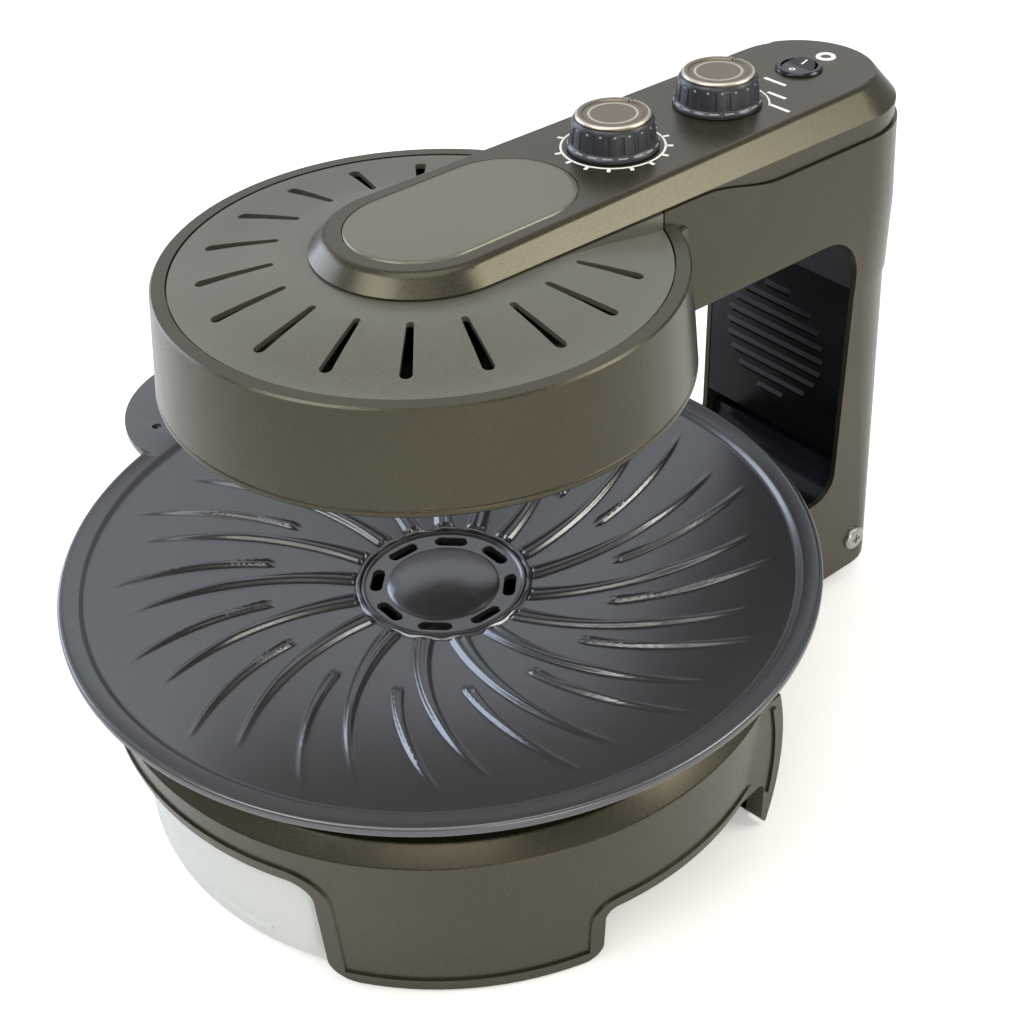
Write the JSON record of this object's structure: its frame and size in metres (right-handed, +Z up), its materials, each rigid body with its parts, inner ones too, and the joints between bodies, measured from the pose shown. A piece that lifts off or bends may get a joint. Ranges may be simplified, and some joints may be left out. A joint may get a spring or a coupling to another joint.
{
  "type": "electric indoor grill",
  "caption": "Round countertop grill: ribbed dished pan with drain hub on a round base with an oil tray, under a slotted infrared head on a C-shaped arm that tilts back",
  "frame": {"origin": "On the table under the middle of the object's footprint; the pan's axis is at X = 28 mm, Y = -52.5 mm", "axes": "+Z up, -Y to the front where the oil tray opens, +Y to the column at the rear, +X to the right seen from the front; the pan's handle ear points along -X"},
  "size_m": [0.416, 0.465, 0.3139],
  "materials": {
    "bronze_paint": "satin metallic bronze-grey paint over a moulding",
    "grey_paint": "satin grey metallic paint, fine grain",
    "black_plastic": "matt black moulding",
    "gloss_black": "gloss black moulding",
    "black_enamel": "black enamel on pressed steel",
    "steel": "bare steel",
    "aluminium": "polished or plain aluminium",
    "brass": "turned bronze",
    "cast_pan": "cast aluminium with a dark blue-grey non-stick coat",
    "clear_plastic": "clear moulded plastic",
    "satin_plate": "satin anodised plate",
    "quartz": "quartz tube with a heating wire",
    "ceramic": "white ceramic",
    "rubber": "black rubber",
    "board": "green circuit board",
    "white_plastic": "white ring",
    "lens": "dark red lens, unlit",
    "bronze_metal": "turned and anodised disc, bronze tone"
  },
  "bodies": {
    "base": {"base_shell": "bronze_paint", "base_floor": "black_plastic", "base_bowl": "black_enamel", "drain_funnel": "steel", "tray_rails": "black_plastic", "rubber_feet": "rubber", "base_tail": "gloss_black", "hinge_bushes": "brass", "floor_screws": "steel"},
    "pan_set": {"pan": "cast_pan", "drain_cap": "cast_pan"},
    "tray": {"oil_tray": "clear_plastic"},
    "lid": {"arm_shell": "bronze_paint", "column_shell": "bronze_paint", "arm_top_cover": "bronze_paint", "arm_under_cover": "black_plastic", "column_front_panel": "black_plastic", "name_plate": "satin_plate", "head_top_cover": "grey_paint", "head_ring": "bronze_paint", "heat_shield": "steel", "reflector": "aluminium", "heater_tubes": "quartz", "tube_holders": "ceramic", "guard_grille": "steel", "hinge_pins": "steel", "friction_washers": "steel", "under_screws": "steel", "cord_gland": "rubber", "fan_frame": "black_plastic", "fan_motor": "steel", "timer_unit": "aluminium", "level_unit": "black_plastic", "control_board": "board", "switch_housing": "gloss_black", "indicator_ring": "white_plastic", "indicator_lens": "lens"},
    "timer_dial": {"timer_shaft": "steel", "timer_knob": "black_plastic", "timer_cap": "bronze_metal"},
    "level_dial": {"level_shaft": "steel", "level_knob": "black_plastic", "level_cap": "bronze_metal"},
    "rocker": {"power_rocker": "gloss_black"},
    "rotor": {"fan_rotor": "black_plastic"}
  },
  "joints": [
    {"name": "lid_tilt", "type": "hinge", "parent": "base", "child": "lid", "pos_m": [0.028, 0.2005, 0.029], "axis": [-1, 0, 0], "range_deg": [0, 60]},
    {"name": "pan_lift", "type": "slide", "parent": "base", "child": "pan_set", "axis": [0, 0, 1], "range_m": [0, 0.06]},
    {"name": "tray_slide", "type": "slide", "parent": "base", "child": "tray", "axis": [0, -1, 0], "range_m": [0, 0.12]},
    {"name": "timer_turn", "type": "hinge", "parent": "lid", "child": "timer_dial", "pos_m": [0.028, 0.0575, 0.2966], "axis": [0, 0.0152, -0.9999], "range_deg": [0, 300]},
    {"name": "level_turn", "type": "hinge", "parent": "lid", "child": "level_dial", "pos_m": [0.028, 0.12399, 0.29761], "axis": [0, 0.0152, -0.9999], "range_deg": [0, 120]},
    {"name": "power_rock", "type": "hinge", "parent": "lid", "child": "rocker", "pos_m": [0.028, 0.18053, 0.29547], "axis": [-1, 0, 0], "range_deg": [0, 14]},
    {"name": "fan_spin", "type": "hinge", "parent": "lid", "child": "rotor", "pos_m": [0.028, 0.1875, 0.146], "axis": [0, 1, 0], "continuous": true}
  ]
}
